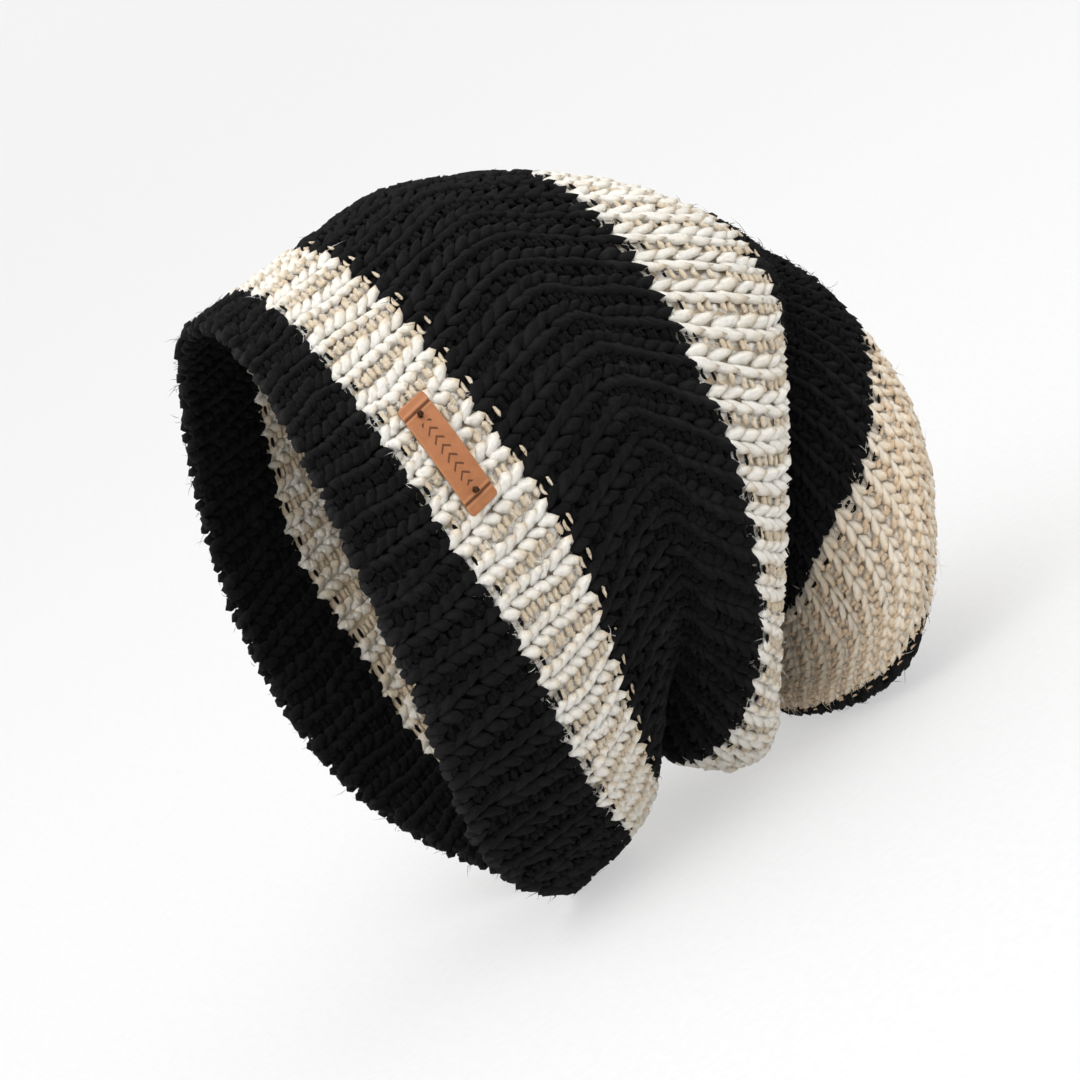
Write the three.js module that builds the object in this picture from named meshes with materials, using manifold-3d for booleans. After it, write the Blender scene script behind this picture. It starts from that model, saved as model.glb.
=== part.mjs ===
// Slouchy ribbed beanie lying on its back: the head opening faces -X and the
// crown flops over and down to the table at +X. Millimetres, +Z up, table at z = 0.
import * as THREE from 'three';
import { mergeVertices } from 'three/addons/utils/BufferGeometryUtils.js';
import Module from 'manifold-3d';

const wasm = await Module();
wasm.setup();

// ---------------------------------------------------------------- driving sizes
const RIM_HEIGHT = 205; // table to the top of the head opening
const RIM_WIDTH = 140; // across the head opening, along Y
const WALL = 4.5; // thickness of the knitted fabric
const GAP = 0.7; // clearance between neighbouring pieces
const YARN_RADIUS = 1.3; // one strand of the knitting yarn
const YARN_FACETS = 4; // on half of a strand
const COLUMNS = 44; // facets round the hat
const ROW_STEP = 9; // longest facet along the knit
const RIM_FACETS = 4; // facets over the rounded rim

// Knitted stripes from the rim to the crown: name, yarn colour, length along the knit.
const STRIPES = [
  { name: 'brim_band_black', yarn: 'black', length: 34 },
  { name: 'stripe_cream_1', yarn: 'cream', length: 34 },
  { name: 'stripe_black_2', yarn: 'black', length: 74 },
  { name: 'stripe_cream_2', yarn: 'cream', length: 34 },
  { name: 'stripe_black_3', yarn: 'black', length: 61 },
  { name: 'stripe_cream_3', yarn: 'warm_cream', length: 61 },
  { name: 'crown_black_4', yarn: 'black', length: 42 },
];
const KNIT_LENGTH = STRIPES.reduce((sum, stripe) => sum + stripe.length, 0);

// The draped form, as cross rings of the knit tube. `at` is a share of the knit
// length from the rim; `top` and `bottom` are the ring's upper and lower points
// [x, z] as shares of the rim height; `half` is the half width as a share of half
// the rim width. The rest are shares of the rim height: `lean` carries the ring's
// sides along the tube, `tilt` their upper part on and their lower part back, and
// `nearLow`, `farHigh` and `farLow` one quarter of the ring; `dent` sinks its top.
const RINGS = [
  {
    at: 0.0, top: [-0.05, 1.035], bottom: [-0.01, 0.0],
    half: 0.94, lean: -0.122, tilt: 0.03, nearLow: -0.06, farLow: -0.01,
  },
  {
    at: 0.1, top: [0.03, 1.035], bottom: [0.1, 0.02],
    half: 1.05, lean: -0.065, nearLow: -0.035, farHigh: 0.045, farLow: -0.05,
  },
  {
    at: 0.2, top: [0.145, 1.04], bottom: [0.18, 0.065],
    half: 1.1, lean: -0.022, nearLow: -0.045, farHigh: 0.01, farLow: -0.03,
  },
  { at: 0.29, top: [0.3, 1.045], bottom: [0.25, 0.185], half: 1.13, lean: 0.03, nearLow: -0.01 },
  { at: 0.36, top: [0.405, 1.01], bottom: [0.255, 0.13], half: 1.13, lean: 0.03 },
  { at: 0.42, top: [0.505, 0.96], bottom: [0.26, 0.055], half: 1.13, lean: 0.044, nearLow: 0.015 },
  {
    at: 0.48, top: [0.61, 0.89], bottom: [0.355, 0.006],
    half: 1.01, lean: 0.03, tilt: 0.06, dent: 0.01,
  },
  {
    at: 0.535, top: [0.69, 0.815], bottom: [0.43, 0.16],
    half: 0.76, lean: 0.01, tilt: 0.08, dent: 0.025,
  },
  { at: 0.595, top: [0.755, 0.735], bottom: [0.51, 0.28], half: 0.61, tilt: 0.04, dent: 0.04 },
  {
    at: 0.665, top: [0.82, 0.64], bottom: [0.51, 0.2],
    half: 0.75, tilt: 0.02, dent: 0.075, nearLow: -0.03,
  },
  { at: 0.77, top: [0.845, 0.42], bottom: [0.475, 0.085], half: 0.93, dent: 0.1 },
  { at: 0.86, top: [0.755, 0.185], bottom: [0.45, 0.038], half: 0.86, dent: 0.07 },
  { at: 0.905, top: [0.66, 0.065], bottom: [0.465, 0.01], half: 0.66, dent: 0.03 },
  { at: 0.95, top: [0.6, 0.015], bottom: [0.492, 0.002], half: 0.4, dent: 0.01 },
  { at: 1.0, top: [0.56, 0.008], bottom: [0.515, 0.005], half: 0.11 },
];
const DENT_SPREAD = 0.5; // radians of the ring that the dent reaches either side of its top
const ARC_SAMPLES = 360; // straight steps that measure the way round a ring
const NORMAL_STEP = 0.5; // along the knit, either side of a point whose normal is wanted
const NORMAL_TURN = 0.002; // the same round the ring, as a share of a turn
const EDGE_DRAFT = 0.04; // slope that keeps the cut edges of two stripes apart in a tight bend

// Leather label on the first cream stripe.
const LABEL_LENGTH = 37.5;
const LABEL_WIDTH = 12.2;
const LABEL_THICKNESS = 1.5;
const LABEL_TURN = 0.179; // share of the way round the ring, from its top to the label's middle
const LABEL_END_FOLD = 4; // folded-down end past each crease
const LABEL_ARCH = 1.0; // how far the label bows away from the knit
const LABEL_END_DROP = 0.5; // share of the arch that the folded ends give up
const LABEL_STEPS = 16;
const LABEL_MIDDLE = STRIPES[0].length + STRIPES[1].length / 2; // along the knit
const HOLE_FROM_END = 5.5;
const STITCH_HOLE_RADIUS = 0.8;
const STITCH_THREAD_RADIUS = 0.45;
const STITCH_BEAD_RADIUS = 1.0;
const STITCH_PLACES = [-1, 1].map((side) => side * (LABEL_LENGTH / 2 - HOLE_FROM_END));
const HOLE_FACETS = 16;
const STITCH_FACETS = 12;
const BEAD_STEPS = 6;

// Yarn ends knotted inside at each colour change.
const YARN_END_REACH = 11; // each tail, along the knit
const YARN_END_TURN = 0.2; // where the rounds start, high on the near side
const YARN_END_POINTS = 5;
const YARN_END_STEPS = 10;
const YARN_END_SWAY = 0.003; // share of a turn that the tails wander to each side
const KNOT_RADIUS = 2.4;
const KNOT_DETAIL = 1; // subdivisions of a knot
const GATHER_CLEARANCE = 0.32; // between the crown's last ring and the yarn that draws it in
const GATHER_FACETS = 20; // round the ring of yarn

const COLOURS = {
  black: { color: 0x17161a, roughness: 0.95, metalness: 0 },
  cream: { color: 0xebe4d6, roughness: 0.92, metalness: 0 },
  warm_cream: { color: 0xe6d2b8, roughness: 0.92, metalness: 0 },
  leather: { color: 0xb97a4c, roughness: 0.6, metalness: 0 },
  thread: { color: 0x3a2415, roughness: 0.8, metalness: 0 },
};

// ---------------------------------------------------------------- draped surface
// Ring measures in mm, as one flat list for interpolation.
const RING_STATIONS = RINGS.map((ring) => ring.at * KNIT_LENGTH);
const RING_VALUES = RINGS.map((ring) => [
  ring.top[0] * RIM_HEIGHT,
  ring.top[1] * RIM_HEIGHT,
  ring.bottom[0] * RIM_HEIGHT,
  ring.bottom[1] * RIM_HEIGHT,
  ring.half * (RIM_WIDTH / 2),
  (ring.lean ?? 0) * RIM_HEIGHT,
  (ring.tilt ?? 0) * RIM_HEIGHT,
  (ring.dent ?? 0) * RIM_HEIGHT,
  (ring.nearLow ?? 0) * RIM_HEIGHT,
  (ring.farHigh ?? 0) * RIM_HEIGHT,
  (ring.farLow ?? 0) * RIM_HEIGHT,
]);

function stationSlope(index, key) {
  const before = Math.max(index - 1, 0);
  const after = Math.min(index + 1, RING_STATIONS.length - 1);
  const rise = RING_VALUES[after][key] - RING_VALUES[before][key];
  return rise / (RING_STATIONS[after] - RING_STATIONS[before]);
}

// Smooth (cubic) measures of the ring at a distance `at` along the knit.
function ringAt(at) {
  const place = THREE.MathUtils.clamp(at, 0, KNIT_LENGTH);
  let index = RING_STATIONS.findLastIndex((station) => station <= place);
  index = Math.min(index, RING_STATIONS.length - 2);
  const span = RING_STATIONS[index + 1] - RING_STATIONS[index];
  const t = (place - RING_STATIONS[index]) / span;
  const startWeight = 2 * t ** 3 - 3 * t ** 2 + 1;
  const endWeight = 1 - startWeight;
  const startSlopeWeight = (t ** 3 - 2 * t ** 2 + t) * span;
  const endSlopeWeight = (t ** 3 - t ** 2) * span;
  return RING_VALUES[index].map(
    (value, key) =>
      startWeight * value +
      endWeight * RING_VALUES[index + 1][key] +
      startSlopeWeight * stationSlope(index, key) +
      endSlopeWeight * stationSlope(index + 1, key),
  );
}

// Point of the outer skin on the ring `at`, at `angle` round it: 0 is the ring's
// top, a quarter turn its near side (-Y) and half a turn its bottom.
function ringPoint(at, angle) {
  const [topX, topZ, bottomX, bottomZ, half, lean, tilt, dent, nearLow, farHigh, farLow] = ringAt(at);
  const chord = new THREE.Vector2((topX - bottomX) / 2, (topZ - bottomZ) / 2);
  const reach = chord.length();
  const up = chord.divideScalar(reach);
  const fromTop = Math.atan2(Math.sin(angle), Math.cos(angle));
  const sink = dent * Math.exp(-((fromTop / DENT_SPREAD) ** 2));
  const along = reach * Math.cos(angle) - sink;
  const isNear = Math.sin(angle) > 0;
  const high = isNear ? 0 : farHigh;
  const low = isNear ? nearLow : farLow;
  const quarter = Math.cos(angle) < 0 ? low : high;
  const lopsided = Math.sin(angle) ** 2 * (lean + 2 * tilt * Math.cos(angle));
  const side = lopsided + quarter * Math.sin(2 * angle) ** 2;
  return new THREE.Vector3(
    (topX + bottomX) / 2 + along * up.x + side * up.y,
    -half * Math.sin(angle),
    (topZ + bottomZ) / 2 + along * up.y - side * up.x,
  );
}

// Angles of a ring at equal distances round it, so that knit columns keep their width.
const arcTables = new Map();

function arcTable(at) {
  const key = at.toFixed(4);
  if (!arcTables.has(key)) {
    const lengths = [0];
    let last = ringPoint(at, 0);
    for (let sample = 1; sample <= ARC_SAMPLES; sample += 1) {
      const point = ringPoint(at, (2 * Math.PI * sample) / ARC_SAMPLES);
      lengths.push(lengths[sample - 1] + point.distanceTo(last));
      last = point;
    }
    arcTables.set(key, lengths);
  }
  return arcTables.get(key);
}

function angleAtTurn(at, turn) {
  const lengths = arcTable(at);
  const wanted = THREE.MathUtils.euclideanModulo(turn, 1) * lengths[ARC_SAMPLES];
  let sample = lengths.findLastIndex((length) => length <= wanted);
  sample = Math.min(sample, ARC_SAMPLES - 1);
  const share = (wanted - lengths[sample]) / (lengths[sample + 1] - lengths[sample]);
  return (2 * Math.PI * (sample + share)) / ARC_SAMPLES;
}

function skinPoint(at, turn) {
  return ringPoint(at, angleAtTurn(at, turn));
}

function skinNormal(at, turn) {
  const along = skinPoint(Math.min(at + NORMAL_STEP, KNIT_LENGTH), turn);
  along.sub(skinPoint(Math.max(at - NORMAL_STEP, 0), turn));
  const round = skinPoint(at, turn + NORMAL_TURN).sub(skinPoint(at, turn - NORMAL_TURN));
  return round.cross(along).normalize();
}

// Point `depth` below the outer skin; a negative depth stands outside it.
function skinOffset(at, turn, depth) {
  return skinPoint(at, turn).addScaledVector(skinNormal(at, turn), -depth);
}

// Unit step in the skin, square to the ring and towards the crown.
function crownward(at, turn) {
  const round = skinPoint(at, turn + NORMAL_TURN).sub(skinPoint(at, turn - NORMAL_TURN));
  return skinNormal(at, turn).cross(round).normalize();
}

// ---------------------------------------------------------------- mesh helpers
function gridGeometry(points, triangles) {
  const geometry = new THREE.BufferGeometry();
  const flat = points.flatMap((point) => [point.x, point.y, point.z]);
  geometry.setAttribute('position', new THREE.Float32BufferAttribute(flat, 3));
  geometry.setIndex(triangles);
  return geometry;
}

// Two triangles between rows a and b of a grid, columns c and d.
function quad(a, b, c, d, width) {
  const corner = (row, column) => row * width + column;
  return [corner(a, c), corner(b, d), corner(b, c), corner(a, c), corner(a, d), corner(b, d)];
}

// Closed loop of [at, depth, trim] points carried all the way round the hat; `trim`
// shifts the point square to its ring, so that cut edges keep their gap everywhere.
function sweptLoop(loop) {
  const points = [];
  const triangles = [];
  loop.forEach(([at, depth, trim], row) => {
    for (let column = 0; column < COLUMNS; column += 1) {
      const turn = column / COLUMNS;
      points.push(skinOffset(at, turn, depth).addScaledVector(crownward(at, turn), trim));
      const nextRow = (row + 1) % loop.length;
      triangles.push(...quad(row, nextRow, column, (column + 1) % COLUMNS, COLUMNS));
    }
  });
  return gridGeometry(points, triangles);
}

function toManifold(geometry) {
  const bare = new THREE.BufferGeometry();
  bare.setAttribute('position', geometry.getAttribute('position').clone());
  bare.setIndex(geometry.getIndex());
  const merged = mergeVertices(bare, 1e-4);
  return new wasm.Manifold(
    new wasm.Mesh({
      numProp: 3,
      vertProperties: new Float32Array(merged.getAttribute('position').array),
      triVerts: new Uint32Array(merged.getIndex().array),
    }),
  );
}

function fromManifold(solid) {
  const mesh = solid.getMesh();
  const geometry = new THREE.BufferGeometry();
  geometry.setAttribute('position', new THREE.BufferAttribute(new Float32Array(mesh.vertProperties), 3));
  geometry.setIndex([...mesh.triVerts]);
  return geometry;
}

function joined(geometries) {
  return fromManifold(geometries.map(toManifold).reduce((sum, piece) => sum.add(piece)));
}

function namedMesh(name, geometry, colour) {
  geometry.computeVertexNormals();
  const mesh = new THREE.Mesh(geometry, new THREE.MeshStandardMaterial(COLOURS[colour]));
  mesh.name = name;
  mesh.material.name = name;
  return mesh;
}

// ---------------------------------------------------------------- knitted stripes
function evenSteps(from, to) {
  const count = Math.ceil((to - from) / ROW_STEP);
  return Array.from({ length: count + 1 }, (_, index) => from + ((to - from) * index) / count);
}

// The fabric's outline between two distances along the knit. Its two edges are cut
// back by half the gap, apart from an edge with no neighbour.
function bandOutline(from, to, startTrim, endTrim) {
  const steps = evenSteps(from, to);
  const trims = steps.map(() => 0);
  trims[0] = startTrim;
  trims[steps.length - 1] = -endTrim;
  const outside = steps.map((at, index) => [at, 0, trims[index]]);
  const inside = outside.toReversed().map(([at, , trim]) => {
    return [at, WALL, trim + Math.sign(trim) * EDGE_DRAFT * WALL];
  });
  return [...outside, ...inside];
}

// The first band, with its free edge rounded over as the knit turns at the rim.
function rimOutline(to) {
  const radius = WALL / 2;
  const outline = bandOutline(radius, to, 0, GAP / 2);
  for (let facet = 1; facet < RIM_FACETS; facet += 1) {
    const angle = (Math.PI * facet) / RIM_FACETS;
    outline.push([radius - radius * Math.sin(angle), radius + radius * Math.cos(angle), 0]);
  }
  return outline;
}

function stripeMeshes() {
  let start = 0;
  return STRIPES.map((stripe, index) => {
    const end = start + stripe.length;
    const endTrim = index === STRIPES.length - 1 ? 0 : GAP / 2;
    const outline = index === 0 ? rimOutline(end) : bandOutline(start, end, GAP / 2, endTrim);
    start = end;
    return namedMesh(stripe.name, sweptLoop(outline), stripe.yarn);
  });
}

// ---------------------------------------------------------------- leather label
// Height of the label's underside above the knit, `across` mm from its middle.
function labelLift(across) {
  const flatHalf = LABEL_LENGTH / 2 - LABEL_END_FOLD;
  const arch = LABEL_ARCH * (1 - (Math.abs(across) / (LABEL_LENGTH / 2)) ** 2);
  const pastFold = Math.max(Math.abs(across) - flatHalf, 0) / LABEL_END_FOLD;
  return GAP + arch * (1 - LABEL_END_DROP * pastFold);
}

function labelTurn(across) {
  const round = arcTable(LABEL_MIDDLE)[ARC_SAMPLES];
  return LABEL_TURN + across / round;
}

function labelPoint(across, along, height) {
  return skinOffset(LABEL_MIDDLE + along, labelTurn(across), -labelLift(across) - height);
}

function labelGeometry() {
  const half = LABEL_WIDTH / 2;
  const section = [
    [-half, LABEL_THICKNESS],
    [0, LABEL_THICKNESS],
    [half, LABEL_THICKNESS],
    [half, 0],
    [0, 0],
    [-half, 0],
  ];
  const points = [];
  const triangles = [];
  for (let step = 0; step <= LABEL_STEPS; step += 1) {
    const across = LABEL_LENGTH * (step / LABEL_STEPS - 0.5);
    section.forEach(([along, height]) => points.push(labelPoint(across, along, height)));
  }
  for (let step = 0; step < LABEL_STEPS; step += 1) {
    for (let edge = 0; edge < section.length; edge += 1) {
      const next = (edge + 1) % section.length;
      triangles.push(...quad(step, step + 1, next, edge, section.length));
    }
  }
  const last = LABEL_STEPS * section.length;
  const cap = [0, 1, 4, 0, 4, 5, 1, 2, 3, 1, 3, 4];
  const endCap = cap.map((corner) => corner + last);
  return gridGeometry(points, [...triangles, ...cap, ...endCap.toReversed()]);
}

// A piece of revolution standing on the knit below a label hole, axis out of the label.
function standOnLabel(geometry, across) {
  const foot = labelPoint(across, 0, 0);
  const outward = labelPoint(across, 0, 1).sub(foot).normalize();
  const turn = new THREE.Quaternion().setFromUnitVectors(new THREE.Vector3(0, 1, 0), outward);
  return geometry.applyQuaternion(turn).translate(foot.x, foot.y, foot.z);
}

function labelMesh() {
  let leather = toManifold(labelGeometry());
  STITCH_PLACES.forEach((across) => {
    const reach = 4 * LABEL_THICKNESS;
    const drill = new THREE.CylinderGeometry(STITCH_HOLE_RADIUS, STITCH_HOLE_RADIUS, reach, HOLE_FACETS);
    leather = leather.subtract(toManifold(standOnLabel(drill, across)));
  });
  return namedMesh('leather_label', fromManifold(leather), 'leather');
}

// Thread knot: a bead above the leather on a strand that runs down through its hole.
function stitchProfile() {
  const strandTop = LABEL_THICKNESS + GAP;
  const beadMiddle = strandTop + STITCH_BEAD_RADIUS;
  const points = [new THREE.Vector2(0, 0), new THREE.Vector2(STITCH_THREAD_RADIUS, 0)];
  points.push(new THREE.Vector2(STITCH_THREAD_RADIUS, strandTop));
  for (let step = 1; step < BEAD_STEPS; step += 1) {
    const angle = -Math.PI / 2 + (Math.PI * step) / BEAD_STEPS;
    const radius = STITCH_BEAD_RADIUS * Math.cos(angle);
    points.push(new THREE.Vector2(radius, beadMiddle + STITCH_BEAD_RADIUS * Math.sin(angle)));
  }
  points.push(new THREE.Vector2(0, beadMiddle + STITCH_BEAD_RADIUS));
  return points;
}

function stitchMeshes() {
  return STITCH_PLACES.map((across, index) => {
    const knot = new THREE.LatheGeometry(stitchProfile(), STITCH_FACETS);
    return namedMesh(`label_stitch_${index + 1}`, standOnLabel(knot, across), 'thread');
  });
}

// ---------------------------------------------------------------- yarn inside
function tube(points, radius, steps) {
  const section = new THREE.Shape().absarc(0, 0, radius, 0, 2 * Math.PI);
  const extrudePath = new THREE.CatmullRomCurve3(points);
  return new THREE.ExtrudeGeometry(section, { extrudePath, steps, curveSegments: YARN_FACETS });
}

// Two tails lying on the inside of the knit, tied in a knot over a colour change.
function yarnEndGeometry(at) {
  const bed = WALL + 2 * GAP + KNOT_RADIUS;
  const places = Array.from({ length: YARN_END_POINTS }, (_, index) => {
    const share = (2 * index) / (YARN_END_POINTS - 1) - 1;
    const sway = YARN_END_SWAY * Math.sin(2 * Math.PI * share);
    return skinOffset(at + YARN_END_REACH * share, YARN_END_TURN + sway, bed);
  });
  const knot = new THREE.IcosahedronGeometry(KNOT_RADIUS, KNOT_DETAIL);
  const middle = places[(YARN_END_POINTS - 1) / 2];
  knot.translate(middle.x, middle.y, middle.z);
  return joined([tube(places, YARN_RADIUS, YARN_END_STEPS), knot]);
}

function yarnEndMeshes() {
  let at = 0;
  return STRIPES.slice(0, -1).map((stripe, index) => {
    at += stripe.length;
    const colour = STRIPES[index + 1].yarn;
    return namedMesh(`yarn_end_${index + 1}`, yarnEndGeometry(at), colour);
  });
}

// ---------------------------------------------------------------- gathered crown
// The last round of stitches is drawn in on a ring of yarn, and its ends are tied inside.
function inCrownHole(geometry, depth) {
  const [topX, topZ, bottomX, bottomZ] = ringAt(KNIT_LENGTH);
  const inward = new THREE.Vector3(bottomZ - topZ, 0, topX - bottomX).normalize();
  const turn = new THREE.Quaternion().setFromUnitVectors(new THREE.Vector3(0, 0, 1), inward);
  const centre = new THREE.Vector3((topX + bottomX) / 2, 0, (topZ + bottomZ) / 2);
  centre.addScaledVector(inward, depth);
  return geometry.applyQuaternion(turn).translate(centre.x, centre.y, centre.z);
}

function gatherRadius() {
  const [topX, topZ, bottomX, bottomZ] = ringAt(KNIT_LENGTH);
  const crownReach = Math.hypot(topX - bottomX, topZ - bottomZ) / 2;
  return crownReach - GATHER_CLEARANCE - YARN_RADIUS;
}

function gatherMeshes() {
  const ring = new THREE.TorusGeometry(gatherRadius(), YARN_RADIUS, 2 * YARN_FACETS, GATHER_FACETS);
  const knot = new THREE.IcosahedronGeometry(KNOT_RADIUS, KNOT_DETAIL);
  const ringDepth = WALL / 2;
  const knotDepth = ringDepth + YARN_RADIUS + GAP + KNOT_RADIUS;
  return [
    namedMesh('gather_yarn', inCrownHole(ring, ringDepth), 'black'),
    namedMesh('gather_knot', inCrownHole(knot, knotDepth), 'black'),
  ];
}

const beanie = new THREE.Group();
beanie.name = 'beanie';
beanie.add(...stripeMeshes(), labelMesh(), ...stitchMeshes(), ...yarnEndMeshes(), ...gatherMeshes());

// The origin is under the middle of the hat, on the table.
const extent = new THREE.Box3().setFromObject(beanie);
const middle = extent.getCenter(new THREE.Vector3());
beanie.position.set(-middle.x, -middle.y, -extent.min.z);

export default beanie;
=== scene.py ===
"""Slouchy striped beanie of thick ribbed knit, lying on its back with the crown flopped over."""

import math

import bpy
import numpy as np
from mathutils import Matrix, Vector


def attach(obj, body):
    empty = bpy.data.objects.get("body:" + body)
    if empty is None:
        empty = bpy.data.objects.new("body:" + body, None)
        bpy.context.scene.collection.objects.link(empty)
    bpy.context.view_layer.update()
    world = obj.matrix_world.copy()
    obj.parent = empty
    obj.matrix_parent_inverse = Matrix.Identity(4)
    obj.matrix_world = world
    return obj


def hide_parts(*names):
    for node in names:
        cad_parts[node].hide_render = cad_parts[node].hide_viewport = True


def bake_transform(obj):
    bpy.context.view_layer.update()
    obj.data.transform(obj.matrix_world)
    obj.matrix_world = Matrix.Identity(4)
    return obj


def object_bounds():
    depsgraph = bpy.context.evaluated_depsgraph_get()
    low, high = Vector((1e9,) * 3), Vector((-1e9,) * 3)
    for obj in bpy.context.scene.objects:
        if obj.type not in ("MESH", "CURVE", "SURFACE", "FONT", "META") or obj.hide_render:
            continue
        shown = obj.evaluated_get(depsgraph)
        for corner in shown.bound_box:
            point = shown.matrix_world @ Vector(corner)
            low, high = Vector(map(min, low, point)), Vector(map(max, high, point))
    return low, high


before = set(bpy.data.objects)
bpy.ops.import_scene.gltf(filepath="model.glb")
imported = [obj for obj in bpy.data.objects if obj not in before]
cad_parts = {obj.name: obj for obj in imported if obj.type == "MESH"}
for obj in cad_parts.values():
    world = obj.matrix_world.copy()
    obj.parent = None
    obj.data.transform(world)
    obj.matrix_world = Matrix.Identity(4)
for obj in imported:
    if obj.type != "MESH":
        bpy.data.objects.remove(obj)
CAD_LOW, CAD_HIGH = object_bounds()

# ------------------------------------------------------------------ sizes
# The drape's sizes are given in millimetres of a hat this tall, and MM brings them to the frame.
MODEL_HEIGHT = 214.29
MM = (CAD_HIGH.z - CAD_LOW.z) / MODEL_HEIGHT

RIM_HEIGHT = 205 * MM
RIM_WIDTH = 140 * MM
WALL = 4.5 * MM  # thickness of the ribbed fabric
GAP = 0.7 * MM
DENT_SPREAD = 0.5  # radians

STRIPES = (  # CAD node, yarn and length along the knit
    ("brim_band_black", "black", 34 * MM),
    ("stripe_cream_1", "cream", 34 * MM),
    ("stripe_black_2", "black", 74 * MM),
    ("stripe_cream_2", "cream", 34 * MM),
    ("stripe_black_3", "black", 61 * MM),
    ("stripe_cream_3", "warm_cream", 61 * MM),
    ("crown_black_4", "black", 42 * MM),
)
KNIT_LENGTH = sum(length for _, _, length in STRIPES)
FIRST_BENDING = 3  # this stripe and those after it lie past the crown's hinge, and are not attached to the hat body

# Cross rings of the tube of knit: share of its length, top x and z, bottom x and z, half width, lean of
# the sides, their tilt, dent of the top, and bulge of the near side's lower part and of the far side's
# upper and lower part, as shares of the rim's size.
RINGS = (
    (0.0, -0.05, 1.035, -0.01, 0.0, 0.94, -0.122, 0.03, 0, -0.06, 0.0, -0.01),
    (0.1, 0.03, 1.035, 0.1, 0.02, 1.05, -0.065, 0, 0, -0.035, 0.045, -0.05),
    (0.2, 0.145, 1.04, 0.18, 0.065, 1.1, -0.022, 0, 0, -0.045, 0.01, -0.03),
    (0.29, 0.3, 1.045, 0.25, 0.185, 1.13, 0.03, 0, 0, -0.01, 0, 0),
    (0.36, 0.405, 1.01, 0.255, 0.13, 1.13, 0.03, 0, 0, 0, 0, 0),
    (0.42, 0.505, 0.96, 0.26, 0.055, 1.13, 0.044, 0, 0, 0.015, 0, 0),
    (0.48, 0.61, 0.89, 0.355, 0.006, 1.01, 0.03, 0.06, 0.01, 0, 0, 0),
    (0.535, 0.69, 0.815, 0.43, 0.16, 0.76, 0.01, 0.08, 0.025, 0, 0, 0),
    (0.595, 0.755, 0.735, 0.51, 0.28, 0.61, 0, 0.04, 0.04, 0, 0, 0),
    (0.665, 0.82, 0.64, 0.51, 0.2, 0.75, 0, 0.02, 0.075, -0.03, 0, 0),
    (0.77, 0.845, 0.42, 0.475, 0.085, 0.93, 0, 0, 0.1, 0, 0, 0),
    (0.86, 0.755, 0.185, 0.45, 0.038, 0.86, 0, 0, 0.07, 0, 0, 0),
    (0.905, 0.66, 0.065, 0.465, 0.01, 0.66, 0, 0, 0.03, 0, 0, 0),
    (0.95, 0.6, 0.015, 0.492, 0.002, 0.4, 0, 0, 0.01, 0, 0, 0),
    (1.0, 0.56, 0.008, 0.515, 0.005, 0.11, 0, 0, 0, 0, 0, 0),
)

# Stitches.
RIBS = 46
DECREASES = ((206 * MM, 38), (305 * MM, 19), (325 * MM, 10))  # fewer ribs past each distance
ROW = 4.6 * MM
VALLEY = 3.8 * MM  # from a rib's crest down to the valley beside it
LEG_RADIUS = 2.1 * MM
LEG_SHARE = 0.185  # largest leg radius, as a share of the width of a rib
BUMP_RADIUS = 1.15 * MM
LUMPS = 0.13  # how uneven the yarn is, as a share of its radius
EDGE_RADIUS = 2.0 * MM
SCALLOP = 5 * MM  # how far the smaller loops of the edge lie back, for each share that they are smaller
BACKING_START = 2.2 * MM  # from the free edge
LEG_DIVE = 1.7 * MM  # how far the ends of each leg sink behind their neighbours
FIBRE_RADIUS = 0.09 * MM
FIBRE_REACH = 2.8 * MM
FIBRES = 20  # on each stitch

# Label.
LABEL_LENGTH = 37.5 * MM
LABEL_WIDTH = 12.2 * MM
LABEL_THICKNESS = 1.5 * MM
LABEL_TURN = 0.179
LABEL_END_FOLD = 4 * MM
LABEL_ARCH = 1.0 * MM
LABEL_END_DROP = 0.5  # share of the arch that the folded ends give up
LABEL_CORNER = 1.3 * MM
LABEL_BEVEL = 0.7 * MM
BEVEL_DROP = 0.5 * MM
LABEL_MIDDLE = STRIPES[0][2] + STRIPES[1][2] / 2
LABEL_STEPS = 420  # cells of the label's face, along its length
LABEL_LANES = 84  # and across it
CREASE_DEPTH = 0.5 * MM
CREASE_LIP = 0.15 * MM
HOLE_FROM_END = 5.5 * MM
HOLE_RADIUS = 0.8 * MM
PIT_DEPTH = 0.9 * MM
MARK_PITCH = 3.1 * MM  # the row of pressed marks
MARK_REACH = 10.85 * MM
MARK_HEIGHT = 2.1 * MM
MARK_LINE = 0.36 * MM
MARK_DEPTH = 0.25 * MM
BEAD_RADIUS = 1.0 * MM
THREAD_RADIUS = 0.45 * MM

# Yarn inside.
YARN_RADIUS = 1.3 * MM
YARN_END_REACH = 11 * MM
YARN_END_TURN = 0.2
YARN_END_SWAY = 0.003
TAIL_STEPS = 60  # points along a pair of yarn ends, and round the gather ring
KNOT_RADIUS = 2.4 * MM
KNOT_STRAND = 0.9 * YARN_RADIUS  # the yarn is pulled thinner in a knot
PLY_OFFSET = 0.45 * YARN_RADIUS  # from the middle of the strand to the middle of each ply
PLY_RADIUS = 0.6 * YARN_RADIUS
PLY_TURN = 9 * MM  # length in which the two plies of a tail go once round each other
GATHER_CLEARANCE = 0.32 * MM

YARN_SPREAD = 900  # range, in mm, that the yarn coordinates of the tubes start in, so that no two look alike
TOP_PAINTED_HIGHLIGHT = 0.18  # painted highlight: how much lighter the top of a strand is painted than its middle
# Slow waves that the stitches wander in: reach, waves round the hat, length of a wave along the knit.
ROW_WANDER = ((0.5 * MM, 7, 90 * MM), (0.35 * MM, 17, -60 * MM))
RIB_WANDER = ((0.08, 5, 70 * MM), (0.05, -11, 31 * MM))
random = np.random.default_rng(20)


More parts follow.
